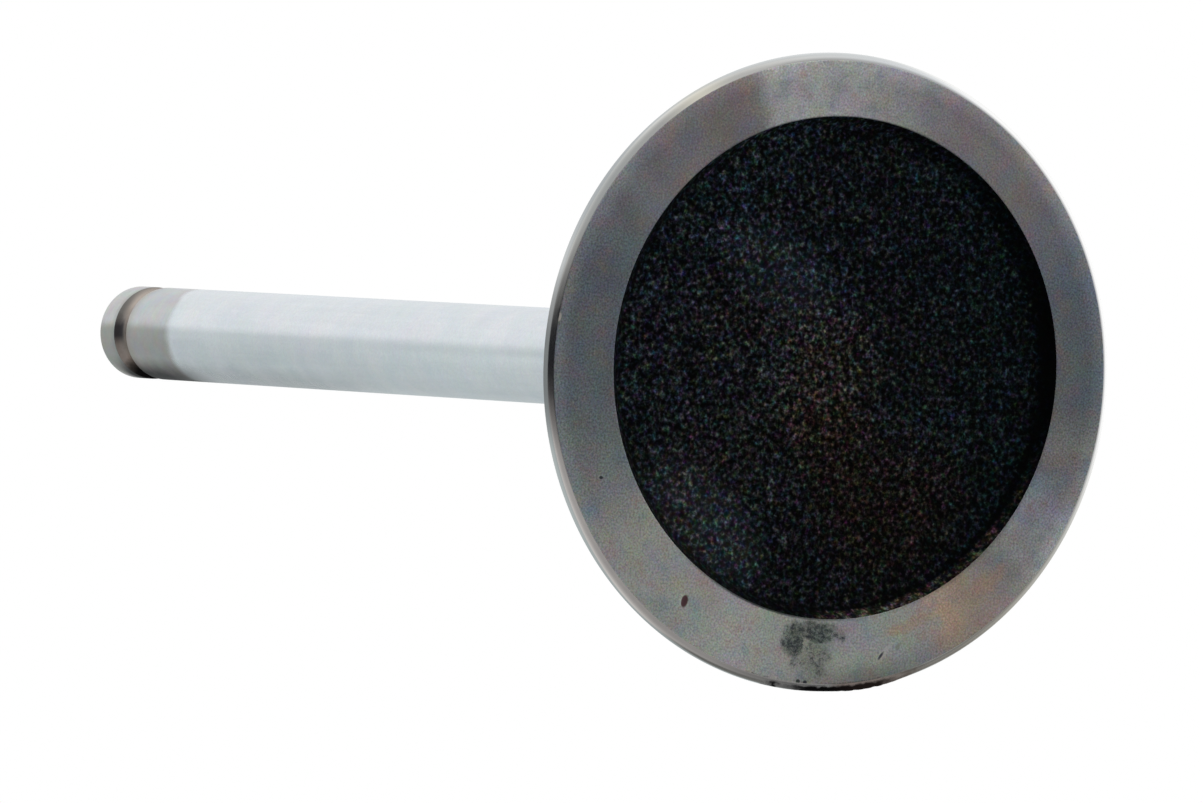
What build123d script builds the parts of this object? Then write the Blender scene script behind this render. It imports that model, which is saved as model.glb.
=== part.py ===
"""Poppet valve of a piston engine, forged and turned from one piece of steel.

The valve stands on its head. The machined ring round its combustion face lies on z = 0, the stem rises along +Z
and the origin is where the stem's axis meets that ring's plane. Lengths are in millimetres, angles in degrees.
"""
import os
from math import radians, sqrt, tan

from build123d import *

# Overall sizes
overall_length = 127.0  # combustion face to stem tip
head_diameter = 51.2  # over the margin
stem_diameter = 7.96  # an 8 mm stem, less its running clearance in the guide

# Rim of the head, from the face upwards
face_edge_break = 0.6  # radial width of the break round the ring
face_edge_height = 0.33  # and its height
margin_height = 0.36  # plain cylinder between the break and the seat
seat_angle = 45.0  # ground seat cone, measured from the plane of the face
seat_width = 2.2  # radial width of the seat cone

# Back of the head
back_angle = 17.0  # cone behind the seat, measured from the plane of the face
neck_radius = 14.0  # sweep from that cone into the stem

# Pocket forged into the combustion face, a little off the turning axis
pocket_diameter = 40.3  # at its mouth
pocket_depth = 1.0
pocket_draft = 37.0  # slope of its wall, measured from the stem's axis
pocket_floor_radius = 1.0  # between wall and floor
pocket_offset_x = 0.36
pocket_offset_y = 0.46

# Stem end
tip_chamfer = 0.5
keeper_groove_below_tip = 4.4  # to the middle of the groove
keeper_groove_radius = 1.2  # round section that takes the keepers' bead
keeper_groove_depth = 0.9
keeper_lip_radius = 0.15  # rounding of the groove's two lips

# Places that follow from the sizes above
head_radius = head_diameter / 2
stem_radius = stem_diameter / 2
margin_top = face_edge_height + margin_height
seat_inner_radius = head_radius - seat_width
seat_top = margin_top + seat_width * tan(radians(seat_angle))
neck_corner_height = seat_top + (seat_inner_radius - stem_radius) * tan(radians(back_angle))

pocket_radius = pocket_diameter / 2
pocket_floor_corner = pocket_radius - pocket_depth * tan(radians(pocket_draft))
pocket_axis = Axis((pocket_offset_x, pocket_offset_y, 0), (0, 0, 1))
pocket_plane = Plane((pocket_offset_x, pocket_offset_y, 0), x_dir=(1, 0, 0), z_dir=(0, -1, 0))

keeper_groove_height = overall_length - keeper_groove_below_tip
keeper_bead_offset = stem_radius - keeper_groove_depth + keeper_groove_radius
keeper_groove_half_width = sqrt(keeper_groove_radius**2 - (keeper_bead_offset - stem_radius) ** 2)

os.makedirs("parts", exist_ok=True)

with BuildPart() as valve:
    # Half section of head, neck and stem, swept round the axis
    with BuildSketch(Plane.XZ) as half_section:
        with BuildLine():
            Polyline(
                (0, 0),
                (head_radius - face_edge_break, 0),
                (head_radius, face_edge_height),
                (head_radius, margin_top),
                (seat_inner_radius, seat_top),
                (stem_radius, neck_corner_height),
                (stem_radius, overall_length),
                (0, overall_length),
                close=True,
            )
        make_face()
        neck_corner = half_section.vertices().sort_by_distance((stem_radius, neck_corner_height))[0]
        fillet(neck_corner, neck_radius)
        tip_corner = half_section.vertices().sort_by_distance((stem_radius, overall_length))[0]
        chamfer(tip_corner, tip_chamfer)
    revolve(axis=Axis.Z)

    # Forged pocket in the face, swept round its own axis
    with BuildSketch(pocket_plane) as pocket_section:
        with BuildLine():
            Polyline(
                (0, 0),
                (pocket_radius, 0),
                (pocket_floor_corner, pocket_depth),
                (0, pocket_depth),
                close=True,
            )
        make_face()
        floor_corner = pocket_section.vertices().sort_by_distance((pocket_floor_corner, pocket_depth))[0]
        fillet(floor_corner, pocket_floor_radius)
    revolve(axis=pocket_axis, mode=Mode.SUBTRACT)

    # Round groove for the keepers' bead
    with BuildSketch(Plane.XZ):
        with Locations((keeper_bead_offset, keeper_groove_height)):
            Circle(keeper_groove_radius)
    revolve(axis=Axis.Z, mode=Mode.SUBTRACT)
    lip_heights = [keeper_groove_height + side * keeper_groove_half_width for side in (-1, 1)]
    lips = [valve.edges().sort_by_distance((stem_radius, 0, height))[0] for height in lip_heights]
    fillet(lips, keeper_lip_radius)

valve.part.label = "valve"
export_step(valve.part, "parts/valve.step")
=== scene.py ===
from collections import namedtuple

import bpy
import numpy as np
from mathutils import Matrix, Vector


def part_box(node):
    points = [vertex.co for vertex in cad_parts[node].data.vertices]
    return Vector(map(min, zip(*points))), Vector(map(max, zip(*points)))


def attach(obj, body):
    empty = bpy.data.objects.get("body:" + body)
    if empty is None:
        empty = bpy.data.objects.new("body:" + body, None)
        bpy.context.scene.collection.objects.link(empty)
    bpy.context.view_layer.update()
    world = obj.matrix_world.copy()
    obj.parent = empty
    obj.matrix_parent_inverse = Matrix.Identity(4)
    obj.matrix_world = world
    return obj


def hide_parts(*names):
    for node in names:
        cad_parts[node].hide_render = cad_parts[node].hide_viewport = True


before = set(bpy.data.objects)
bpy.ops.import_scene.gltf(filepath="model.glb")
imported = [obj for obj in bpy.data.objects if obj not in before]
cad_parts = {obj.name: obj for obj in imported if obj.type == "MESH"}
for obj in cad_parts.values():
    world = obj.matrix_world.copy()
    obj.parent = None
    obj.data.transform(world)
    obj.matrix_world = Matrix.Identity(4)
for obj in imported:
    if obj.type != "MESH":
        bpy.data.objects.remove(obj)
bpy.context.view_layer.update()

# Sizes of the valve, as in its solid. Lengths are in metres, heights from the plane of the face's ring.
MM = 0.001
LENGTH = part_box("valve")[1].z
HEAD_RADIUS = 25.6 * MM
EDGE_BREAK = 0.6 * MM
RING_RADIUS = HEAD_RADIUS - EDGE_BREAK
STEM_RADIUS = 3.98 * MM
EDGE_TOP = 0.33 * MM
MARGIN_HEIGHT = 0.36 * MM
MARGIN_TOP = EDGE_TOP + MARGIN_HEIGHT
SEAT_WIDTH = 2.2 * MM
SEAT_INNER_RADIUS = HEAD_RADIUS - SEAT_WIDTH
SEAT_TOP = MARGIN_TOP + SEAT_WIDTH
BACK_ANGLE = np.radians(17.0)
NECK_RADIUS = 14.0 * MM
NECK_CORNER = SEAT_TOP + (SEAT_INNER_RADIUS - STEM_RADIUS) * np.tan(BACK_ANGLE)
NECK_END = NECK_CORNER + NECK_RADIUS * np.tan((np.pi / 2 - BACK_ANGLE) / 2)
POCKET_RADIUS = 20.15 * MM
POCKET_DEPTH = 1.0 * MM
POCKET_DRAFT = np.radians(37.0)
POCKET_FLOOR_ROUND = 1.0 * MM
POCKET_OFFSET = np.array([0.36, 0.46]) * MM
POCKET_FLOOR_CORNER = POCKET_RADIUS - POCKET_DEPTH * np.tan(POCKET_DRAFT)
TIP_CHAMFER = 0.5 * MM
GROOVE_BELOW_TIP = 4.4 * MM
GROOVE_HEIGHT = LENGTH - GROOVE_BELOW_TIP
GROOVE_ROUND = 1.2 * MM
GROOVE_DEPTH = 0.9 * MM
GROOVE_CENTRE = STEM_RADIUS - GROOVE_DEPTH + GROOVE_ROUND
GROOVE_LIP = 0.15 * MM

# What the photograph adds to those sizes: where the chrome ends, and how round the edges are
PLATING_END = 113.2 * MM
EDGE_ROUND = 0.06 * MM
RIM_ROUND = 0.5 * MM
RING_ROUND = 0.4 * MM

# The photograph's camera, fitted to the outlines of ring, pocket and stem
PICTURE = np.array([1203.0, 803.0])
LENS_PX = 16500.0
FACE_CENTRE_PX = np.array([831.26, 372.31])
FACE_DISTANCE = 1.3214
SIGHT_TO_STEM = np.radians(28.32)
STEM_HEADING = np.radians(183.33)
SENSOR_MM = 36.0
TOWARDS_CAMERA = (0.0, -np.sin(SIGHT_TO_STEM), -np.cos(SIGHT_TO_STEM))
PICTURE_RIGHT = (0.0, np.cos(SIGHT_TO_STEM), -np.sin(SIGHT_TO_STEM))
UNDER_HEAD = (-0.88, 0.47, 0.0)

# Steps of the skin round the axis, and how far they crowd at the bottom of the face
SEGMENTS = 512
CROWDING = 0.55

# A quarter turn, which draws the gloss out across the rings that the tools left
ACROSS_RINGS = 0.25

Corner = namedtuple("Corner", "radius height rounding arc_rows leg_rows")
Fan = namedtuple("Fan", "middle half colour share")


class Mark(namedtuple("Mark", "x y lean length width")):
    """An oval mark on the face, in millimetres: middle, lean of the long side from +Y, half sides."""

    def depth(self, x, y):
        """1 in the middle, 0 on the oval and below 0 outside it, for numbers, arrays or shader values.

        It is 1 less the squares of the ways along and across the mark, each over its half side.
        """
        lean = np.radians(self.lean)
        along = (x - self.x) * float(np.sin(lean)) + (y - self.y) * float(np.cos(lean))
        across = (x - self.x) * float(np.cos(lean)) - (y - self.y) * float(np.sin(lean))
        return 1.0 - (along * along / self.length**2 + across * across / self.width**2)


# Marks on the turned ring
PIT = Mark(-18.9, -12.05, -103, 0.62, 0.36)
SCRATCH = Mark(-22.5, 6.0, 55, 0.55, 0.16)
SCRATCH_FLANK = Mark(-22.3, 6.2, 50, 1.3, 0.3)
NICK = Mark(3.15, -24.75, 80, 0.42, 0.2)
GREEN_SPOT = Mark(-21.7, 7.5, 60, 0.35, 0.25)
DARK_SPOTS = [
    Mark(-24.85, -1.4, 0, 0.23, 0.2),
    Mark(-24.9, -0.76, 0, 0.22, 0.19),
    Mark(-9.42, -20.2, 0, 0.2, 0.15),
]
DIRT_TOP = Mark(-20.85, 0.0, -4, 3.1, 1.1)
DIRT_SIDE = Mark(-21.6, -2.0, 90, 1.9, 1.4)
DIRT_TRAIL = Mark(-22.6, -0.4, 90, 2.8, 2.8)
RUST = [Mark(-19.9, 8.4, 23, 3.2, 0.7), Mark(-16.3, 15.2, 43, 2.6, 1.3)]

# Patches of the pocket, some with their strength
HAZE = Mark(1.5, -1.0, 60, 9.0, 6.5)
PALE_PATCHES = [
    (Mark(7.8, -4.6, -30, 7.0, 4.0), 0.45),
    (Mark(-12.6, -10.4, -42, 8.5, 4.6), 0.75),
]
WARM_PATCHES = [
    (Mark(-2.0, 0.6, 90, 9.5, 5.5), 0.28),
    (Mark(-10.5, 7.0, 20, 9.0, 7.0), 0.03),
]

# Painted reflection fans: clock angle and half width in degrees, colour, and the share of that colour in
# the middle
RING_REFLECTION_FANS = [
    Fan(-108.0, 12.0, (176, 178, 176), 0.6),
    Fan(-54.0, 14.0, (160, 140, 128), 0.8),
    Fan(-58.0, 7.0, (196, 166, 142), 0.5),
    Fan(-43.0, 8.0, (140, 128, 130), 0.7),
    Fan(-29.0, 14.0, (162, 164, 173), 0.8),
    Fan(-13.0, 10.0, (152, 146, 146), 0.75),
    Fan(20.0, 22.0, (110, 119, 129), 0.6),
    Fan(56.0, 22.0, (131, 129, 131), 0.6),
    Fan(117.0, 9.0, (122, 113, 115), 0.6),
    Fan(143.0, 6.0, (136, 138, 144), 0.5),
    Fan(160.0, 10.0, (108, 112, 120), 0.6),
]
# On the rim: a painted bluish reflection, a painted yellowish highlight at the upper left, a pale painted
# reflection at the lower right
RIM_REFLECTION_FANS = [
    Fan(146.0, 24.0, (132, 138, 142), 0.42),
    Fan(122.0, 9.0, (214, 209, 193), 0.45),
    Fan(-45.0, 42.0, (212, 200, 188), 0.9),
]

# Relief in the skin: depth of each dent; height in millimetres, wavelength and seed of the pocket's grain;
# height, clock angle and half width in degrees of a lump under the rim that stands in for the contact
# shadow
DENTS = [(PIT, 0.12 * MM), (SCRATCH, 0.06 * MM), (NICK, 0.03 * MM)]
POCKET_GRAIN = [(0.018, 0.7 * MM, 3), (0.02, 2.2 * MM, 4), (0.03, 9.0 * MM, 5)]
GRAIN_FADE_ROWS = 4
SHADOW_LUMP_HEIGHT = 0.2 * MM
SHADOW_LUMP_MIDDLE = -80.0
SHADOW_LUMP_HALF = 8.0
SHADOW_LUMP_WAVELENGTH = 2.0 * MM
SHADOW_LUMP_SEED = 6


def srgb(red, green, blue):
    """A colour written as screen bytes, turned into the linear colour that sockets take."""
    share = np.array([red, green, blue]) / 255
    linear = np.where(share <= 0.04045, share / 12.92, ((share + 0.055) / 1.055) ** 2.4)
    return (*linear.tolist(), 1.0)


# Shader values and nodes


class Value:
    """A socket of a node tree. Arithmetic on it adds the Math nodes that work the result out."""

    def __init__(self, nodes, socket):
        self.nodes = nodes
        self.socket = socket

    def other(self, output):
        """Another output of the same node."""
        return Value(self.nodes, self.socket.node.outputs[output])

    def __add__(self, term):
        return self.nodes.math("ADD", self, term)

    def __radd__(self, term):
        return self.nodes.math("ADD", term, self)

    def __sub__(self, term):
        return self.nodes.math("SUBTRACT", self, term)

    def __rsub__(self, term):
        return self.nodes.math("SUBTRACT", term, self)

    def __mul__(self, term):
        return self.nodes.math("MULTIPLY", self, term)

    def __rmul__(self, term):
        return self.nodes.math("MULTIPLY", term, self)

    def __truediv__(self, term):
        return self.nodes.math("DIVIDE", self, term)

    def __pow__(self, term):
        return self.nodes.math("POWER", self, term)


class Nodes:
    """Adds nodes to one node tree, which it empties first."""

    def __init__(self, tree):
        self.tree = tree
        tree.nodes.clear()

    def node(self, kind, settings=None, sockets=None, output=0):
        """Adds a node: its settings first, then its sockets from numbers, colours or values."""
        made = self.tree.nodes.new(kind)
        for name, setting in (settings or {}).items():
            setattr(made, name, setting)
        for key, given in (sockets or {}).items():
            socket = made.inputs[key]
            if isinstance(given, Value):
                self.tree.links.new(given.socket, socket)
            else:
                socket.default_value = given
        return Value(self, made.outputs[output]) if made.outputs else None

    def math(self, operation, *terms):
        """A Math node on numbers or values."""
        return self.node("ShaderNodeMath", {"operation": operation}, dict(enumerate(terms)))

    def larger(self, first, second):
        """The larger of two values."""
        return self.math("MAXIMUM", first, second)

    def smooth(self, value, start, end):
        """0 where value is at start, 1 where it is at end, with a soft S between."""
        settings = {"interpolation_type": "SMOOTHSTEP"}
        sockets = {"Value": value, "From Min": start, "From Max": end}
        return self.node("ShaderNodeMapRange", settings, sockets)

    def band(self, value, foot, top, far_top, far_foot):
        """1 between the two tops, falling softly to 0 at the foot on either side."""
        return self.smooth(value, foot, top) * self.smooth(value, far_foot, far_top)

    def mix(self, share, first, second):
        """First colour where share is 0, second where it is 1."""
        sockets = {0: share, 6: first, 7: second}
        return self.node("ShaderNodeMix", {"data_type": "RGBA"}, sockets, output=2)

    def noise(self, vector, scale, detail=2.0, roughness=0.5, layer=0.0):
        """Cloudy noise about 0.5, with features about 1 / scale long. Each layer is another pattern."""
        settings = {"noise_dimensions": "4D"}
        sockets = {"Vector": vector, "W": layer, "Scale": scale, "Detail": detail, "Roughness": roughness}
        return self.node("ShaderNodeTexNoise", settings, sockets)

    def vector(self, x, y, z):
        """A vector from its three parts."""
        return self.node("ShaderNodeCombineXYZ", None, {"X": x, "Y": y, "Z": z})

    def scaled(self, colour, factor):
        """Colour times a number."""
        return self.node("ShaderNodeVectorMath", {"operation": "SCALE"}, {0: colour, "Scale": factor})

    def along(self, heading, direction):
        """How far a heading goes along a fixed direction."""
        sockets = {0: heading, 1: direction}
        return self.node("ShaderNodeVectorMath", {"operation": "DOT_PRODUCT"}, sockets, output="Value")

    def tint(self, colour, grain, strength):
        """Colour whose channels are each made stronger or weaker by a noise colour about 0.5."""
        spread = {0: grain, 1: (2 * strength,) * 3, 2: (1 - strength,) * 3}
        share = self.node("ShaderNodeVectorMath", {"operation": "MULTIPLY_ADD"}, spread)
        return self.node("ShaderNodeVectorMath", {"operation": "MULTIPLY"}, {0: colour, 1: share})


class Finish(Nodes):
    """One material of the valve. Places are in millimetres, clock angles in degrees from +Y to +X."""

    def __init__(self, name):
        self.material = bpy.data.materials.new(name)
        self.material.use_nodes = True
        super().__init__(self.material.node_tree)
        place = self.node("ShaderNodeTexCoord", output="Object")
        self.place = self.scaled(place, 1 / MM)
        split = self.node("ShaderNodeSeparateXYZ", None, {0: self.place})
        self.x = split
        self.y = split.other("Y")
        self.z = split.other("Z")
        self.radius = (self.x * self.x + self.y * self.y) ** 0.5
        self.side_x = self.x / self.radius
        self.side_y = self.y / self.radius
        self.degrees = self.math("ARCTAN2", self.x, self.y) * float(180 / np.pi)

    def from_pocket(self):
        """Place seen from the pocket's own axis: along x, along y, and the distance out."""
        pocket_x = self.x - float(POCKET_OFFSET[0] / MM)
        pocket_y = self.y - float(POCKET_OFFSET[1] / MM)
        return pocket_x, pocket_y, (pocket_x * pocket_x + pocket_y * pocket_y) ** 0.5

    def bump(self, height, depth):
        """Normal tilted by a height field from 0 to 1 that stands for a depth in metres."""
        sockets = {"Strength": 1.0, "Distance": depth, "Height": height}
        return self.node("ShaderNodeBump", None, sockets)

    def mask(self, mark, soft=0.6, ragged=0.0):
        """1 inside a mark, falling to 0 at its oval, whose edge a value about 0 can make ragged."""
        return self.smooth(mark.depth(self.x, self.y) + ragged, 0.0, soft)

    def fan(self, middle, half, ragged=0.0):
        """1 along a clock angle, falling to 0 where it is half a width away, both in degrees."""
        return self.smooth(self.math("ABSOLUTE", self.degrees + ragged - middle), half, 0.0)

    def fanned(self, colour, fans, ragged=0.0):
        """Colour with the colour of each fan mixed in by its share."""
        for fan in fans:
            share = self.fan(fan.middle, fan.half, ragged) * fan.share
            colour = self.mix(share, colour, srgb(*fan.colour))
        return colour

    def rings(self, pitch):
        """Noise in fine rings about the axis, as a tool leaves them: pitch is millimetres per ring."""
        along = (self.radius + self.z) / pitch
        return self.noise(self.vector(along, self.side_x * 0.7, self.side_y * 0.7), 1.0, detail=2.0)

    def surface(self, sockets, brushed=0.0):
        """Closes the material with a Principled surface, its gloss drawn out as far as brushed says."""
        if brushed:
            sockets = {**sockets, "Anisotropic": brushed, "Anisotropic Rotation": ACROSS_RINGS}
        shader = self.node("ShaderNodeBsdfPrincipled", None, sockets)
        self.node("ShaderNodeOutputMaterial", None, {"Surface": shader})
        return self.material


# Finishes


def scale_hues(skin, flecks):
    """Colour of the pocket's painted glints: grey and blue clouds, bluer above and at the sides.

    The warm patches and the flecks at the lip have their own brown.
    """
    patch = skin.noise(skin.place, 0.1, detail=3.0)
    bright = skin.mix(skin.smooth(patch, 0.35, 0.65), srgb(154, 152, 150), srgb(150, 166, 176))
    above = skin.smooth(skin.x, 2.0, 9.0)
    left = skin.smooth(skin.y, -8.0, -15.0)
    right = skin.smooth(skin.y, 4.0, 16.0)
    bright = skin.mix(above * 0.6, bright, srgb(126, 152, 174))
    bright = skin.mix(left * 0.5, bright, srgb(130, 154, 172))
    bright = skin.mix(right * 0.8, bright, srgb(124, 160, 174))
    for warm, _ in WARM_PATCHES:
        bright = skin.mix(skin.mask(warm, 1.0) * 0.65, bright, srgb(174, 152, 132))
    return skin.mix(skin.smooth(flecks, 0.0, 0.5), bright, srgb(170, 160, 144))


def forged_scale():
    """Black forging skin of the pocket: painted glints of many hues, as strong as the tone of its place.

    The glints are a high power of fine noise. The tone is higher on the left and lower on the right,
    painted shade; it is also higher in the haze and in the pale and warm patches, and the pale ones have a
    smooth veil as well. It is lower at the bottom and on the darker wall. The lip of the wall has bright
    flecks at the lower right.
    """
    skin = Finish("forged_scale")
    grain = skin.noise(skin.place, 2.7, detail=2.0, roughness=0.6)
    hue = skin.noise(skin.place, 2.4, detail=1.0, layer=3.0)
    cloud = skin.noise(skin.place, 0.7, detail=4.0, roughness=0.65)
    clump = skin.noise(skin.place, 1.5, detail=2.0, layer=9.0)
    pocket_x, pocket_y, out = skin.from_pocket()

    # Painted shade: the tone rises towards the left
    tone = 0.41 + 0.19 * skin.smooth(skin.y, 2.0, -8.0) + 0.3 * skin.mask(HAZE, 1.0)
    for warm, strength in WARM_PATCHES:
        tone = tone + strength * skin.mask(warm, 1.0)
    veil = 0.0
    for pale, strength in PALE_PATCHES:
        veil = veil + strength * skin.mask(pale, 1.0)
    # Painted shade on the right; the bottom and the wall are darker as well
    painted_shade_right = 1.0 - 0.3 * skin.smooth(skin.y, 8.0, 18.0)
    bottom_darkening = 1.0 - 0.16 * skin.smooth(skin.x, -6.0, -16.0)
    left_wall = skin.larger(skin.smooth(pocket_y, -6.0, -16.0), skin.smooth(pocket_x, -8.0, -17.0))
    right_wall = skin.smooth(pocket_y, 8.0, 17.0) * (1.0 - 0.5 * skin.smooth(pocket_x, 4.0, 12.0))
    darker_wall = 1.0 - skin.smooth(out, 18.7, 19.5) * skin.larger(left_wall * 0.75, right_wall * 0.92)
    tone = (tone + 0.5 * veil) * (0.5 + cloud) * painted_shade_right * bottom_darkening * darker_wall

    lower_right = skin.band(skin.degrees, -93.0, -82.0, -66.0, -4.0)
    flecks = skin.smooth(out, 19.4, 19.75) * lower_right * (0.3 + 1.2 * skin.smooth(clump, 0.4, 0.6))
    # Painted glints of the skin's tiny facets
    painted_glints = (skin.larger(grain - 0.15, 0.0) / 0.35) ** 5.2
    shine = painted_glints * (tone + 1.8 * flecks) * 0.08 + 0.07 * flecks + 0.07 * veil * darker_wall
    colour = skin.mix(shine, srgb(1, 1, 1), scale_hues(skin, flecks))
    return skin.surface(
        {
            "Base Color": skin.tint(colour, hue.other("Color"), 1.3),
            "Roughness": 0.75,
            "Specular IOR Level": 0.03,
            "Normal": skin.bump(grain, 0.02 * MM),
        }
    )


def ring_tones(steel, cloud, wobble, side):
    """Broad tones of the ring, all painted reflection: dark above, light below, bluish sides, a pale patch
    on top, and fans.
    """
    drawn_out = steel.vector(steel.side_x * 2.6, steel.side_y * 2.6, steel.radius * 0.12)
    drift = steel.smooth(steel.noise(drawn_out, 1.0, detail=5.0), 0.3, 0.7)
    # Painted reflections: darker above, lighter below and bluish at the sides
    upper = steel.mix(drift, srgb(116, 113, 117), srgb(134, 131, 133))
    lower = steel.mix(drift, srgb(150, 154, 155), srgb(165, 165, 160))
    sides = steel.mix(drift, srgb(110, 118, 127), srgb(123, 129, 134))
    downwards = steel.smooth(steel.x + 10.0 * (cloud - 0.5), 8.0, -12.0)
    # Painted highlight: a pale patch on top
    painted_highlight_patch = steel.band(steel.degrees + wobble, 56.0, 96.0, 106.0, 112.0)
    colour = steel.mix(downwards, upper, lower)
    colour = steel.mix(side * 0.85, colour, sides)
    colour = steel.mix(painted_highlight_patch * 0.9, colour, srgb(177, 178, 178))
    return steel.fanned(colour, RING_REFLECTION_FANS, wobble)


def ring_stains(steel, colour, cloud, mottle, wobble, ragged):
    """Over the tones: the grey end of the warm streak, a painted reflection, then rust, and brown and blue
    mottling.
    """
    # Painted reflection: the grey outer end of the warm streak
    outwards = steel.smooth(steel.radius + 2.0 * (mottle - 0.5), 23.0, 24.6)
    reflection_streak_end = steel.fan(-56.0, 16.0, wobble) * outwards
    colour = steel.mix(reflection_streak_end * 0.5, colour, srgb(142, 136, 132))
    for stain in RUST:
        colour = steel.mix(steel.mask(stain, 1.0, ragged) * 0.5, colour, srgb(174, 140, 120))
    colour = steel.mix(steel.smooth(mottle, 0.52, 0.74) * 0.45, colour, srgb(146, 124, 110))
    colour = steel.mix(steel.smooth(mottle, 0.48, 0.26) * 0.45, colour, srgb(118, 132, 148))
    colour = steel.tint(colour, cloud.other("Color"), 0.14)
    colour = steel.tint(colour, mottle.other("Color"), 0.25)
    blotch = steel.noise(steel.place, 0.45, detail=3.0, layer=11.0)
    upper_right = steel.smooth(steel.side_x + steel.side_y, -0.3, 0.5)
    brown = steel.smooth(blotch, 0.5, 0.68) * upper_right
    blue = steel.smooth(blotch, 0.5, 0.32) * upper_right
    colour = steel.mix(brown * 0.35, colour, srgb(136, 122, 112))
    return steel.mix(blue * 0.35, colour, srgb(112, 124, 136))


def ring_edge_tones(steel, colour):
    """Lighter towards the outer edge, more at some clock angles, and darker near the bottom, above the
    painted contact shadow.
    """
    lighter_edge = steel.smooth(steel.math("ABSOLUTE", steel.degrees + 85.0), 50.0, 85.0)
    lighter_edge = lighter_edge * (1.0 - 0.5 * steel.fan(92.0, 22.0))
    lighter_edge = lighter_edge + 0.9 * steel.fan(-32.0, 28.0) + 0.4 * steel.fan(38.0, 22.0)
    colour = steel.scaled(colour, 1.0 + 0.4 * lighter_edge * steel.smooth(steel.radius, 23.4, 24.95))
    darker_near_bottom = steel.fan(-79.0, 24.0) * steel.smooth(steel.radius, 23.0, 25.0)
    return steel.scaled(colour, 1.0 - 0.4 * darker_near_bottom)


def ring_dirt_and_shadow(steel, ragged):
    """Oily film, dirt with a painted contact shadow, and their colour: specks in the film, spots, a dark
    band at the pocket's lip and a painted contact shadow on the outer edge at the bottom.
    """
    speck = steel.noise(steel.place, 3.5, detail=4.0, roughness=0.9)
    clump = steel.noise(steel.place, 1.3, detail=2.0, layer=7.0)
    patch = steel.larger(steel.mask(DIRT_TOP, 0.8, ragged), steel.mask(DIRT_SIDE, 0.8, ragged))
    film = steel.larger(patch, steel.mask(DIRT_TRAIL, 1.0, ragged) * 0.6)
    sprinkled = speck + 0.4 * (clump - 0.5) + 0.21 * film
    dirt_and_shadow = steel.smooth(sprinkled, 0.57, 0.81) * steel.smooth(film, 0.0, 0.5)
    for spot in DARK_SPOTS:
        dirt_and_shadow = steel.larger(dirt_and_shadow, steel.mask(spot))
    # Painted contact shadow: black on the ring's outer edge at the bottom
    spread = steel.larger(steel.fan(-82.0, 9.0), steel.fan(-101.3, 2.6))
    painted_contact_shadow = steel.smooth(steel.radius + 0.6 * (speck - 0.5), 24.9, 25.05) * steel.smooth(spread, 0.1, 0.4)
    _, _, out = steel.from_pocket()
    lip = out + 0.2 * (speck - 0.5)
    low_lip = steel.smooth(lip, 20.34, 20.2) * steel.fan(-105.0, 32.0)
    top_lip = steel.smooth(lip, 20.28, 20.14) * steel.fan(90.0, 80.0)
    soft_lip = 0.35 * steel.smooth(lip, 20.5, 20.2) * steel.fan(-45.0, 60.0)
    dirt_and_shadow = steel.larger(dirt_and_shadow, steel.larger(painted_contact_shadow, low_lip + top_lip + soft_lip))
    soil = steel.mix(steel.smooth(clump, 0.35, 0.65), srgb(34, 52, 42), srgb(34, 38, 50))
    return film, dirt_and_shadow, soil


def turned_ring():
    """Turned steel round the pocket: broad tones that are painted reflections, stains, a lighter outer
    edge, fine grain, dirt with a painted contact shadow, and single marks.
    """
    steel = Finish("turned_ring")
    grain = steel.noise(steel.place, 6.0, detail=1.0)
    hue = steel.noise(steel.place, 6.0, detail=1.0, layer=3.0)
    mottle = steel.noise(steel.place, 0.6, detail=4.0, roughness=0.6, layer=5.0)
    cloud = steel.noise(steel.place, 0.3, detail=4.0, roughness=0.6)
    wobble = 8.0 * (cloud - 0.5) + 6.0 * (mottle - 0.5)
    ragged = 1.8 * (steel.noise(steel.place, 0.9, detail=3.0) - 0.5)
    side = steel.smooth(steel.side_y * steel.side_y, 0.5, 0.95)

    colour = ring_tones(steel, cloud, wobble, side)
    colour = ring_stains(steel, colour, cloud, mottle, wobble, ragged)
    colour = ring_edge_tones(steel, colour)
    colour = steel.tint(colour, hue.other("Color"), 0.3)
    colour = steel.scaled(colour, 1.09 + (1.35 + 0.5 * side) * (grain - 0.5))
    colour = steel.mix(steel.mask(GREEN_SPOT, 1.0) * 0.5, colour, srgb(124, 128, 96))
    colour = steel.mix(steel.mask(SCRATCH_FLANK, 1.0) * 0.35, colour, srgb(205, 202, 198))
    film, dirt_and_shadow, soil = ring_dirt_and_shadow(steel, ragged)
    colour = steel.mix(film * 0.55, colour, srgb(92, 110, 98))
    # Dirt, with the painted contact shadow on the bottom edge
    colour = steel.mix(dirt_and_shadow * 0.9, colour, soil)
    colour = steel.mix(steel.mask(SCRATCH, 1.0), colour, srgb(70, 72, 82))
    colour = steel.mix(steel.mask(PIT), colour, srgb(84, 62, 66))
    colour = steel.mix(steel.mask(NICK), colour, srgb(214, 208, 200))
    return steel.surface(
        {
            "Base Color": colour,
            "Metallic": 1.0 - 0.6 * dirt_and_shadow,
            "Roughness": 0.36 + 0.12 * cloud + 0.2 * dirt_and_shadow,
            "Normal": steel.bump(steel.rings(0.12), 0.003 * MM),
        },
        brushed=0.75,
    )


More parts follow.
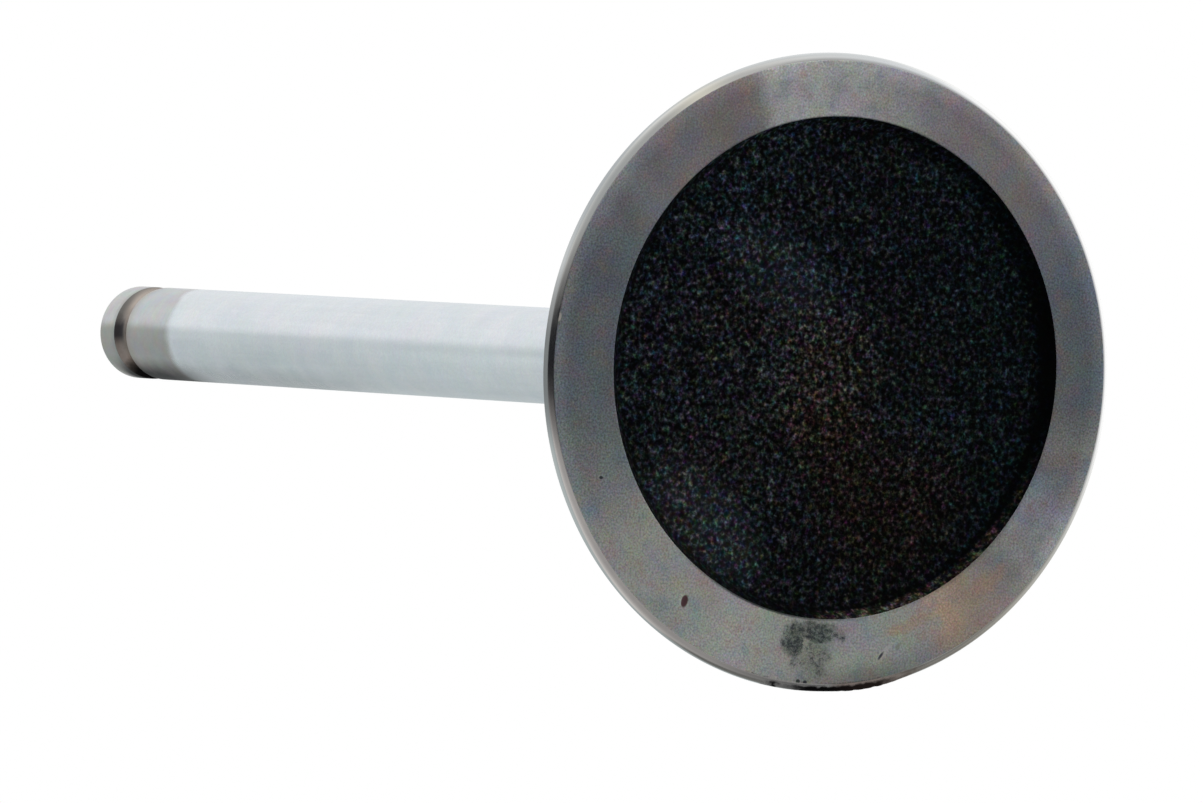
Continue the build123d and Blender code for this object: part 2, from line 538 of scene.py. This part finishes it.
def ground_rim():
    """Edge break and margin of the head: painted shade on the left, a painted highlight on the right, and
    painted reflection fans.

    The bottom is brownish and carries a painted contact shadow, black on its left and dark brown on its
    right.
    """
    steel = Finish("ground_rim")
    cloud = steel.noise(steel.place, 0.6, detail=4.0)
    ragged = steel.noise(steel.place, 1.8, detail=3.0)
    wobble = 5.0 * (ragged - 0.5)

    # Painted shade on the left and a painted highlight on the right
    shaded_left = steel.mix(cloud, srgb(140, 140, 142), srgb(158, 157, 154))
    colour = steel.mix(steel.smooth(steel.side_y, -0.7, 0.5), shaded_left, srgb(222, 222, 222))
    margin = steel.smooth(steel.z, 0.1, 0.42) * steel.smooth(steel.side_y, -0.998, -0.95)
    colour = steel.mix(margin, colour, srgb(212, 212, 210))
    colour = steel.fanned(colour, RIM_REFLECTION_FANS)
    brownish = steel.smooth(steel.fan(-77.0, 13.0, wobble), 0.0, 0.5)
    colour = steel.mix(brownish * 0.7, colour, srgb(140, 120, 108))

    # Painted highlight rising outwards on the right, and painted shade and light by clock angle below
    right = steel.smooth(steel.side_y, -0.45, -0.1)
    right_highlight = 0.6 + 0.55 * steel.smooth(steel.radius, 25.0, 25.3)
    colour = steel.scaled(colour, 1.0 - right + right * right_highlight)
    low_left = steel.fan(-105.0, 18.0) * steel.smooth(steel.radius, 25.5, 25.25)
    colour = steel.scaled(colour, 1.0 - 0.32 * low_left - 0.25 * steel.fan(-86.0, 14.0))
    colour = steel.scaled(colour, 1.0 + 0.18 * steel.fan(-155.0, 24.0) - 0.14 * steel.fan(-120.0, 16.0))

    # Painted contact shadow at the bottom of the rim
    shadow_band = steel.band(steel.degrees + wobble, -99.5, -91.0, -77.0, -69.0)
    shadow_band = steel.larger(shadow_band, steel.fan(-98.0, 2.5, wobble))
    painted_shadow = steel.smooth(steel.radius + 0.5 * (ragged - 0.5), 25.06, 25.32) * shadow_band
    black = steel.mix(steel.smooth(steel.degrees, -87.0, -78.0), srgb(6, 6, 6), srgb(48, 40, 36))
    colour = steel.mix(painted_shadow, colour, black)
    return steel.surface(
        {
            "Base Color": colour,
            "Metallic": 1.0 - painted_shadow,
            "Roughness": 0.12 + 0.1 * cloud + 0.5 * painted_shadow,
            "Specular IOR Level": 0.05,
        },
        brushed=0.4,
    )


def ground_seat():
    """Seat cone with the fine rings that a grinding wheel leaves."""
    steel = Finish("ground_seat")
    lines = steel.rings(0.07)
    colour = steel.mix(lines, srgb(168, 171, 175), srgb(196, 198, 200))
    return steel.surface(
        {
            "Base Color": colour,
            "Metallic": 1.0,
            "Roughness": 0.24 + 0.1 * lines,
            "Normal": steel.bump(lines, 0.003 * MM),
        },
        brushed=0.6,
    )


def turned_back():
    """Back of the head and neck, turned with a round tool: soft rings and faint heat colours."""
    steel = Finish("turned_back")
    lines = steel.rings(0.25)
    cloud = steel.noise(steel.place, 0.22, detail=4.0, roughness=0.6)
    colour = steel.mix(lines, srgb(136, 136, 137), srgb(166, 164, 160))
    colour = steel.mix(steel.smooth(cloud, 0.45, 0.8) * 0.5, colour, srgb(138, 120, 102))
    return steel.surface(
        {
            "Base Color": colour,
            "Metallic": 1.0,
            "Roughness": 0.34 + 0.16 * cloud,
            "Normal": steel.bump(lines, 0.006 * MM),
        },
        brushed=0.5,
    )


def bare_steel(steel, lines, cloud):
    """Ground steel beyond the plating: fine rings, warm clouds, a painted dark reflection on the lower
    side, and stains.
    """
    bare = steel.mix(lines, srgb(193, 194, 195), srgb(206, 206, 205))
    bare = steel.mix(steel.smooth(cloud, 0.42, 0.72) * 0.5, bare, srgb(192, 178, 170))
    # Painted dark reflection on the lower side
    beside = steel.smooth(steel.radius, 3.3, 3.7)
    bare = steel.mix(steel.smooth(steel.side_x, 0.22, 0.02) * beside, bare, srgb(176, 172, 168))
    stain = steel.noise(steel.place, 0.9, detail=3.0, layer=5.0)
    return steel.tint(bare, stain.other("Color"), 0.2)


def plated_stem():
    """Stem with satin hard chrome from the neck to near the groove, and bare ground steel beyond it.

    The border slants where it is uppermost in the photograph. Both sides of the groove are stained, faint
    streaks run along the stem, a lighter painted reflection runs along the lower side near the head, and a
    painted shadow lies along the underside towards the tip.
    """
    steel = Finish("plated_stem")
    lines = steel.rings(0.16)
    cloud = steel.noise(steel.place, 0.3, detail=4.0, roughness=0.6)
    grain = steel.noise(steel.place, 5.0, detail=1.0)
    hue = steel.noise(steel.place, 4.0, detail=1.0, layer=3.0)
    drawn_out = steel.vector(steel.side_x * 5.0, steel.side_y * 5.0, steel.z * 0.05)
    streak = steel.noise(drawn_out, 1.0, detail=3.0)

    end = PLATING_END / MM
    slant = 1.6 * steel.smooth(steel.side_x, 0.5, 1.0)
    plated = steel.smooth(steel.z - slant + 1.6 * (cloud - 0.5), end + 0.7, end - 0.7)
    chrome = steel.mix(cloud, srgb(218, 222, 226), srgb(238, 239, 240))
    colour = steel.mix(plated, bare_steel(steel, lines, cloud), chrome)
    brown = steel.band(steel.z, 119.9, 121.5, 121.5, 122.6)
    colour = steel.mix(brown * 0.5, colour, srgb(168, 150, 136))
    olive = steel.band(steel.z, 122.6, 123.8, 123.8, 124.7)
    colour = steel.mix(olive * 0.4, colour, srgb(148, 156, 148))
    colour = steel.tint(colour, cloud.other("Color"), 0.06)
    colour = steel.tint(colour, hue.other("Color"), 0.06)
    colour = steel.scaled(colour, 1.0 + 0.15 * (grain - 0.5) + 0.16 * (streak - 0.5))
    # Painted reflection: a lighter band along the lower side, fading out towards the tip
    lower = steel.band(steel.side_x, -0.95, -0.6, -0.15, 0.05)
    colour = steel.scaled(colour, 1.0 + 0.12 * lower * steel.smooth(steel.z, 95.0, 50.0))
    root = steel.smooth(steel.z, NECK_END / MM + 1.5, NECK_END / MM)
    colour = steel.mix(root, colour, srgb(152, 150, 148))

    # Painted shadow along the underside towards the tip
    below = steel.smooth(steel.side_x + 0.25 * (cloud - 0.5), -0.5, -0.95)
    towards_tip = 0.25 * steel.smooth(steel.z, 70.0, 95.0) + 0.7 * steel.smooth(steel.z, 107.0, 118.0)
    painted_shadow = below * towards_tip * steel.smooth(steel.z, 126.4, 124.5)
    colour = steel.mix(painted_shadow, colour, srgb(12, 11, 11))
    return steel.surface(
        {
            "Base Color": colour,
            "Metallic": 1.0 - painted_shadow,
            "Specular IOR Level": 0.05,
            "Roughness": 0.26 - 0.06 * plated + 0.06 * lines + 0.2 * painted_shadow + 0.15 * root,
            "Normal": steel.bump(lines, 0.0006 * MM),
        },
        brushed=0.3,
    )


def keeper_groove():
    """Round groove, stained brown, tan towards the stem: paler above and darker below as painted light and
    shade, a painted shade line on the tip side, a dark band along its middle, and a painted shadow
    underneath.
    """
    steel = Finish("keeper_groove")
    cloud = steel.noise(steel.place, 0.8, detail=4.0, roughness=0.65)
    smear = steel.side_x + 0.2 * (cloud - 0.5)
    shown = steel.z - 0.45 * steel.side_x * steel.side_x
    groove = GROOVE_HEIGHT / MM
    stem_side = steel.smooth(shown, groove + 0.85, groove + 0.5)
    tip_side = steel.smooth(shown, groove + 0.75, groove + 1.0)

    colour = steel.mix(steel.smooth(cloud, 0.35, 0.7), srgb(136, 128, 122), srgb(154, 147, 142))
    # Painted light: paler on the upper side
    pale = steel.mix(stem_side, srgb(128, 123, 120), srgb(176, 169, 164))
    colour = steel.mix(steel.smooth(smear, 0.3, 0.75), colour, pale)
    colour = steel.mix(stem_side * 0.25, colour, srgb(178, 156, 138))
    # Painted shade: a dark line on the upper part of the tip side, and darker on the lower side
    tip_side_shade = tip_side * steel.smooth(smear, 0.1, 0.4)
    colour = steel.mix(tip_side_shade * 0.6, colour, srgb(92, 94, 94))
    colour = steel.scaled(colour, 1.0 - 0.2 * steel.smooth(smear, 0.05, -0.3))
    # A dark band along the middle, darkest on the tip side
    middle = steel.band(smear, -0.25, -0.02, 0.05, 0.45)
    crescent = steel.band(smear, -0.35, -0.1, 0.1, 0.5)
    dark_middle = steel.larger(middle * 0.45, crescent * (1.0 - stem_side))
    colour = steel.mix(dark_middle, colour, srgb(66, 64, 66))
    # Painted shadow underneath
    painted_shadow = steel.smooth(smear, -0.6, -0.97)
    colour = steel.mix(painted_shadow, colour, srgb(14, 13, 13))
    return steel.surface(
        {
            "Base Color": colour,
            "Metallic": 1.0 - painted_shadow,
            "Roughness": 0.34 + 0.2 * cloud,
            "Specular IOR Level": 0.05,
        }
    )


# Each finish in order along the half section, with the radius and height where it ends
FINISHES = [
    (forged_scale, (POCKET_RADIUS, 0.0)),
    (turned_ring, (RING_RADIUS, 0.0)),
    (ground_rim, (HEAD_RADIUS, MARGIN_TOP)),
    (ground_seat, (SEAT_INNER_RADIUS, SEAT_TOP)),
    (turned_back, (STEM_RADIUS, NECK_END)),
    (plated_stem, (STEM_RADIUS, GROOVE_HEIGHT - GROOVE_ROUND)),
    (keeper_groove, (STEM_RADIUS, GROOVE_HEIGHT + GROOVE_ROUND)),
    (plated_stem, (0.0, LENGTH)),
]

# The valve's surface


def rounded_path(corners):
    """Rows of (radius, height) along straight legs with tangent arcs at the corners.

    A corner of rounding R that turns by t is cut back by R tan(t / 2) on both legs. Its arc is the centre
    plus R (u sin a - n cos a), for a from 0 to t. There u heads along the first leg and n to the centre.
    """
    points = np.array([[corner.radius, corner.height] for corner in corners])
    heading = np.diff(points, axis=0)
    heading /= np.linalg.norm(heading, axis=1)[:, None]
    rows = [points[:1]]
    for corner, point, before, after in zip(corners[1:-1], points[1:-1], heading, heading[1:]):
        turn = np.arccos(before @ after)
        inward = (after - before * np.cos(turn)) / np.sin(turn)
        start = point - before * corner.rounding * np.tan(turn / 2)
        step = np.linspace(0, 1, corner.leg_rows + 1)[1:, None]
        rows.append(rows[-1][-1] * (1 - step) + start * step)
        angle = np.linspace(0, turn, corner.arc_rows + 1)[1:, None]
        centre = start + inward * corner.rounding
        rows.append(centre + corner.rounding * (before * np.sin(angle) - inward * np.cos(angle)))
    step = np.linspace(0, 1, corners[-1].leg_rows + 1)[1:, None]
    rows.append(rows[-1][-1] * (1 - step) + points[-1] * step)
    return np.concatenate(rows)


def groove_path(lip_rows, round_rows):
    """Rows of the keeper groove from its lower to its upper lip: lip arc, round groove, lip arc.

    A lip's circle touches the stem and the groove's circle, so their centres are both rounds apart.
    """
    inset = GROOVE_CENTRE - STEM_RADIUS + GROOVE_LIP
    reach = np.sqrt((GROOVE_ROUND + GROOVE_LIP) ** 2 - inset**2)
    lean = np.arctan2(reach, inset)
    lip_angle = np.linspace(0, lean, lip_rows + 1)[:-1]
    lip = np.stack([np.cos(lip_angle), np.sin(lip_angle)], 1) * GROOVE_LIP
    lip += [STEM_RADIUS - GROOVE_LIP, GROOVE_HEIGHT - reach]
    round_angle = np.linspace(-lean, lean, round_rows + 1)
    bead = np.stack([-np.cos(round_angle), np.sin(round_angle)], 1) * GROOVE_ROUND
    bead += [GROOVE_CENTRE, GROOVE_HEIGHT]
    upper = lip[::-1] * [1, -1] + [0, 2 * GROOVE_HEIGHT]
    return np.concatenate([lip, bead, upper])


def meridian():
    """Half section of the valve: from the middle of the pocket's floor over the rim to the stem's tip."""
    groove = groove_path(lip_rows=3, round_rows=14)
    lower = rounded_path(
        [
            Corner(0.0, POCKET_DEPTH, 0.0, 0, 0),
            Corner(POCKET_FLOOR_CORNER, POCKET_DEPTH, POCKET_FLOOR_ROUND, 5, 64),
            Corner(POCKET_RADIUS, 0.0, EDGE_ROUND, 3, 4),
            Corner(RING_RADIUS, 0.0, RING_ROUND, 4, 27),
            Corner(HEAD_RADIUS, EDGE_TOP, RIM_ROUND, 7, 3),
            Corner(HEAD_RADIUS, MARGIN_TOP, EDGE_ROUND, 2, 1),
            Corner(SEAT_INNER_RADIUS, SEAT_TOP, EDGE_ROUND, 2, 4),
            Corner(STEM_RADIUS, NECK_CORNER, NECK_RADIUS, 16, 5),
            Corner(STEM_RADIUS, PLATING_END, 0.0, 0, 4),
        ]
    )
    upper = rounded_path(
        [
            Corner(*groove[-1], 0.0, 0, 0),
            Corner(STEM_RADIUS, LENGTH - TIP_CHAMFER, EDGE_ROUND, 3, 3),
            Corner(STEM_RADIUS - TIP_CHAMFER, LENGTH, EDGE_ROUND, 3, 2),
            Corner(0.0, LENGTH, 0.0, 0, 4),
        ]
    )
    return np.concatenate([lower, groove, upper[1:]])


def rough_field(x, y, wavelength, seed, waves=40):
    """Random field of unit spread: a sum of plane waves with their own headings, phases and wavelengths.

    Each wave is cos(2 pi d / w + p), where d is the way along its heading, w is 0.7 to 1.5 wavelengths and
    p its phase. The sum is divided by the spread that so many waves have, the root of half their number.
    """
    draw = np.random.default_rng(seed)
    heading = draw.uniform(0, 2 * np.pi, waves)
    number = 2 * np.pi / (wavelength * draw.uniform(0.7, 1.5, waves))
    phase = draw.uniform(0, 2 * np.pi, waves)
    along = x[..., None] * np.cos(heading) + y[..., None] * np.sin(heading)
    return np.cos(along * number + phase).sum(-1) * np.sqrt(2 / waves)


def skin_relief(x, y, z, clock, ends):
    """How far each point of the skin moves along its normal: the pocket's grain, dents, and a lump on the
    rim that stands in for the contact shadow.

    The grain is a sum of rough fields that fades out over the last rows before the pocket's mouth. A dent
    is its depth times its mark's depth from 0 to 1. The lump at clock angle c is h exp(-((c - m) / w)^4),
    but no more than -R / sin c - R, which keeps it inside the head's square box. It swells by sin squared
    across the rim's rows, and a rough field makes it lumpy.
    """
    mouth, rim, margin = ends[:3]
    relief = np.zeros_like(x)
    inside = slice(0, mouth)
    grain = np.zeros_like(x[inside])
    for height, wavelength, seed in POCKET_GRAIN:
        grain += height * rough_field(x[inside], y[inside], wavelength, seed)
    fade = np.clip((mouth - np.arange(mouth)) / GRAIN_FADE_ROWS, 0, 1)
    relief[inside] = grain * MM * fade[:, None]
    for mark, depth in DENTS:
        relief -= np.where(z < EDGE_TOP, depth * np.clip(mark.depth(x / MM, y / MM), 0, 1), 0)
    edge = slice(rim + 1, margin)
    # A lump on the rim's bottom that stands in for the contact shadow
    lumps = rough_field(x[edge], 3.0 * y[edge], SHADOW_LUMP_WAVELENGTH, SHADOW_LUMP_SEED)
    shadow_lump = SHADOW_LUMP_HEIGHT * np.exp(-(((np.degrees(clock) - SHADOW_LUMP_MIDDLE) / SHADOW_LUMP_HALF) ** 4))
    shadow_lump = np.minimum(shadow_lump, HEAD_RADIUS / np.maximum(-np.sin(clock), 0.5) - HEAD_RADIUS)
    swell = np.sin(np.pi * np.linspace(0, 1, margin - rim - 1)) ** 2
    relief[edge] += shadow_lump * swell[:, None] * np.clip(0.85 + 0.15 * lumps, 0, 1)
    return relief


def skin_faces(rings):
    """Faces over rings of points between two poles, facing out: a fan, rows of quads and a fan."""
    index = 1 + np.arange(rings * SEGMENTS).reshape(-1, SEGMENTS)
    turned = np.roll(index, -1, axis=1)
    last_pole = 1 + rings * SEGMENTS
    first = np.stack([np.zeros(SEGMENTS, int), index[0], turned[0]], -1)
    quads = np.stack([index[:-1], index[1:], turned[1:], turned[:-1]], -1).reshape(-1, 4)
    last = np.stack([index[-1], np.full(SEGMENTS, last_pole), turned[-1]], -1)
    return first.tolist() + quads.tolist() + last.tolist()


def build_valve():
    """The whole valve as one closed skin: the half section swept round its axis.

    A row's points are its centre plus its radius times (sin c, cos c). The clock angles are c = t - 90
    degrees - k sin t for even steps of t, so they crowd at the marked bottom of the face. The centre is on
    the pocket's axis inside its mouth, goes over to the stem's axis across the ring, and stays there. The
    skin then moves along its normal by its relief. The first and the last row are poles.
    """
    rows = meridian()
    ends = [int(np.argmin(np.linalg.norm(rows - end, axis=1))) for _, end in FINISHES]
    mouth, rim = ends[:2]
    radius, height = rows.T
    share = np.clip((radius[rim] - radius) / (radius[rim] - radius[mouth]), 0, 1)
    share[rim:] = 0

    turn = np.linspace(0, 2 * np.pi, SEGMENTS, endpoint=False)
    clock = turn - np.pi / 2 - CROWDING * np.sin(turn)
    around = np.stack([np.sin(clock), np.cos(clock)])
    x = share[:, None] * POCKET_OFFSET[0] + radius[:, None] * around[0]
    y = share[:, None] * POCKET_OFFSET[1] + radius[:, None] * around[1]
    z = np.broadcast_to(height[:, None], x.shape)

    slope = np.gradient(rows, axis=0)
    normal = np.stack([slope[:, 1], -slope[:, 0]], 1)
    normal /= np.linalg.norm(normal, axis=1)[:, None]
    relief = skin_relief(x, y, z, clock, ends)
    out = normal[:, :1] * relief
    points = np.stack([x + out * around[0], y + out * around[1], z + normal[:, 1:] * relief], -1)
    rings = points[1:-1].reshape(-1, 3)
    vertices = np.concatenate([points[0].mean(0)[None], rings, points[-1].mean(0)[None]])

    mesh = bpy.data.meshes.new("valve_skin")
    mesh.from_pydata(vertices.tolist(), [], skin_faces(len(rows) - 2))
    strips = np.searchsorted(np.array(ends), np.arange(len(rows) - 1), side="right")
    materials = np.repeat(strips, SEGMENTS)
    mesh.polygons.foreach_set("material_index", materials.astype(np.int32))
    mesh.polygons.foreach_set("use_smooth", np.ones(len(materials), bool))
    made = {}
    for finish, _ in FINISHES:
        if finish not in made:
            made[finish] = finish()
        mesh.materials.append(made[finish])
    mesh.update()
    skin = bpy.data.objects.new("valve_skin", mesh)
    bpy.context.scene.collection.objects.link(skin)
    return skin


# Studio


def build_floor():
    """Pale floor that the valve stands on, a flat square.

    It is seen from above only, so that the face can be looked at from below.
    """
    half_side = 3.0
    drop = 0.05 * MM
    corners = np.array([[-1, -1, 0], [1, -1, 0], [1, 1, 0], [-1, 1, 0]]) * half_side - [0, 0, drop]
    mesh = bpy.data.meshes.new("floor")
    mesh.from_pydata(corners.tolist(), [], [(0, 1, 2, 3)])
    material = bpy.data.materials.new("pale_floor")
    material.use_nodes = True
    nodes = Nodes(material.node_tree)
    matt = nodes.node("ShaderNodeBsdfDiffuse", None, {"Color": srgb(238, 238, 236)})
    clear = nodes.node("ShaderNodeBsdfTransparent")
    below = nodes.node("ShaderNodeNewGeometry", output="Backfacing")
    both = nodes.node("ShaderNodeMixShader", None, {0: below, 1: matt, 2: clear})
    nodes.node("ShaderNodeOutputMaterial", None, {"Surface": both})
    mesh.materials.append(material)
    floor = bpy.data.objects.new("floor", mesh)
    bpy.context.scene.collection.objects.link(floor)
    floor.visible_diffuse = False
    floor.visible_glossy = False
    floor.visible_transmission = False
    floor.visible_shadow = False
    return floor


def studio_colours(nodes, heading, up):
    """What polished steel sees of the studio, by heading.

    The picture's up is +X: the ceiling is there, the table is on the other side, and the dark room is
    where the photograph's camera stands. A bright screen is at the picture's right, a shade under the head.
    """
    table_low = (0.50, 0.55, 0.56, 1.0)
    table_high = (0.62, 0.67, 0.68, 1.0)
    backdrop = (0.86, 0.89, 0.91, 1.0)
    near_table = (0.92, 0.88, 0.86, 1.0)
    dark_room = (0.02, 0.022, 0.03, 1.0)
    ceiling = (1.2, 1.2, 1.17, 1.0)
    screen = (1.18, 1.18, 1.18, 1.0)
    head_shade = (0.2, 0.2, 0.19, 1.0)
    towards = nodes.along(heading, TOWARDS_CAMERA)
    right = nodes.along(heading, PICTURE_RIGHT)
    far_table = nodes.mix(nodes.smooth(up, -0.6, 0.1), table_low, table_high)
    behind = nodes.mix(nodes.smooth(up, 0.04, 0.2), far_table, backdrop)
    room = nodes.mix(nodes.smooth(up, -0.35, -0.05), near_table, dark_room)
    before = nodes.mix(nodes.smooth(up, 0.05, 0.45), room, ceiling)
    studio = nodes.mix(nodes.smooth(towards - 0.35 * right, -0.2, 0.3), behind, before)
    studio = nodes.mix(nodes.smooth(right, -0.36, -0.56), studio, behind)
    on_screen = nodes.smooth(right - 0.8 * towards, 0.75, 1.0) * nodes.smooth(up, -0.32, -0.02)
    studio = nodes.mix(on_screen, studio, screen)
    shaded = nodes.smooth(nodes.along(heading, UNDER_HEAD), 0.75, 0.9)
    return nodes.mix(shaded, studio, head_shade)


def build_world():
    """White to the camera, the studio in reflections, even light on matt surfaces, dim from below."""
    white = (1.0, 1.0, 1.0, 1.0)
    light_above = (0.9, 0.9, 0.9, 1.0)
    light_below = (0.15, 0.15, 0.16, 1.0)
    world = bpy.data.worlds.new("studio")
    world.use_nodes = True
    world.cycles.sampling_method = "NONE"
    bpy.context.scene.world = world
    nodes = Nodes(world.node_tree)
    heading = nodes.node("ShaderNodeTexCoord", output="Generated")
    split = nodes.node("ShaderNodeSeparateXYZ", None, {0: heading})
    studio = studio_colours(nodes, heading, up=split)
    even = nodes.mix(nodes.smooth(split.other("Z"), -0.1, 0.1), light_below, light_above)
    camera_ray = nodes.node("ShaderNodeLightPath", output="Is Camera Ray")
    shiny_ray = nodes.larger(camera_ray.other("Is Glossy Ray"), camera_ray.other("Is Transmission Ray"))
    seen = nodes.mix(shiny_ray, even, studio)
    colour = nodes.mix(camera_ray, seen, white)
    background = nodes.node("ShaderNodeBackground", None, {"Color": colour, "Strength": 1.0})
    nodes.node("ShaderNodeOutputWorld", None, {"Surface": background})


def build_lamp(name, place, side, power):
    """Square soft lamp that shines at the middle of the valve's head and shows in no reflection."""
    light = bpy.data.lights.new(name, "AREA")
    light.size = side
    light.energy = power
    lamp = bpy.data.objects.new(name, light)
    lamp.visible_glossy = False
    back = np.array(place) / np.linalg.norm(place)
    across = np.cross([0.0, 1.0, 0.0], back)
    across /= np.linalg.norm(across)
    turn = np.stack([across, np.cross(back, across), back], 1)
    lamp.matrix_world = Matrix.Translation(place) @ Matrix(turn.tolist()).to_4x4()
    bpy.context.scene.collection.objects.link(lamp)


def axes_from(stem, sight):
    """Right-handed axes as columns: along the stem, square to stem and sight, and square to both."""
    across = np.cross(stem, sight)
    across /= np.linalg.norm(across)
    return np.stack([stem, across, np.cross(stem, across)], 1)


def build_camera():
    """The photograph's camera: the face's middle falls on its pixel, the stem runs at its angle from there.

    In picture axes, right, down and away, the sight to the face is s and the stem is s cos t + h sin t,
    where t is the angle between them and h the stem's heading in the picture, made square to s.
    """
    offset = (FACE_CENTRE_PX - PICTURE / 2) / LENS_PX
    face = FACE_DISTANCE * np.array([*offset, 1.0])
    sight = face / np.linalg.norm(face)
    heading = np.array([np.cos(STEM_HEADING), np.sin(STEM_HEADING), 0.0])
    heading -= (heading @ sight) * sight
    heading /= np.linalg.norm(heading)
    stem = np.cos(SIGHT_TO_STEM) * sight + np.sin(SIGHT_TO_STEM) * heading
    picture_axes = axes_from(stem, sight)
    valve_axes = axes_from(np.array([0.0, 0.0, 1.0]), -np.array(TOWARDS_CAMERA))
    turn = valve_axes @ picture_axes.T
    up_and_back = np.diag([1.0, -1.0, -1.0])
    data = bpy.data.cameras.new("camera")
    data.sensor_width = SENSOR_MM
    data.lens = LENS_PX / PICTURE[0] * SENSOR_MM
    data.clip_start = 0.05
    data.clip_end = 20.0
    camera = bpy.data.objects.new("camera", data)
    rotation = Matrix((turn @ up_and_back).tolist()).to_4x4()
    camera.matrix_world = Matrix.Translation(-turn @ face) @ rotation
    bpy.context.scene.collection.objects.link(camera)
    bpy.context.scene.camera = camera


skin = build_valve()
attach(skin, "root")
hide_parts("valve")
build_floor()
build_world()
build_lamp("face_lamp", (0.14, 0.68, -0.41), side=0.3, power=2.1)
build_lamp("stem_lamp", (0.55, -0.25, 0.5), side=0.4, power=3.0)
build_camera()
bpy.context.scene.view_settings.view_transform = "Standard"
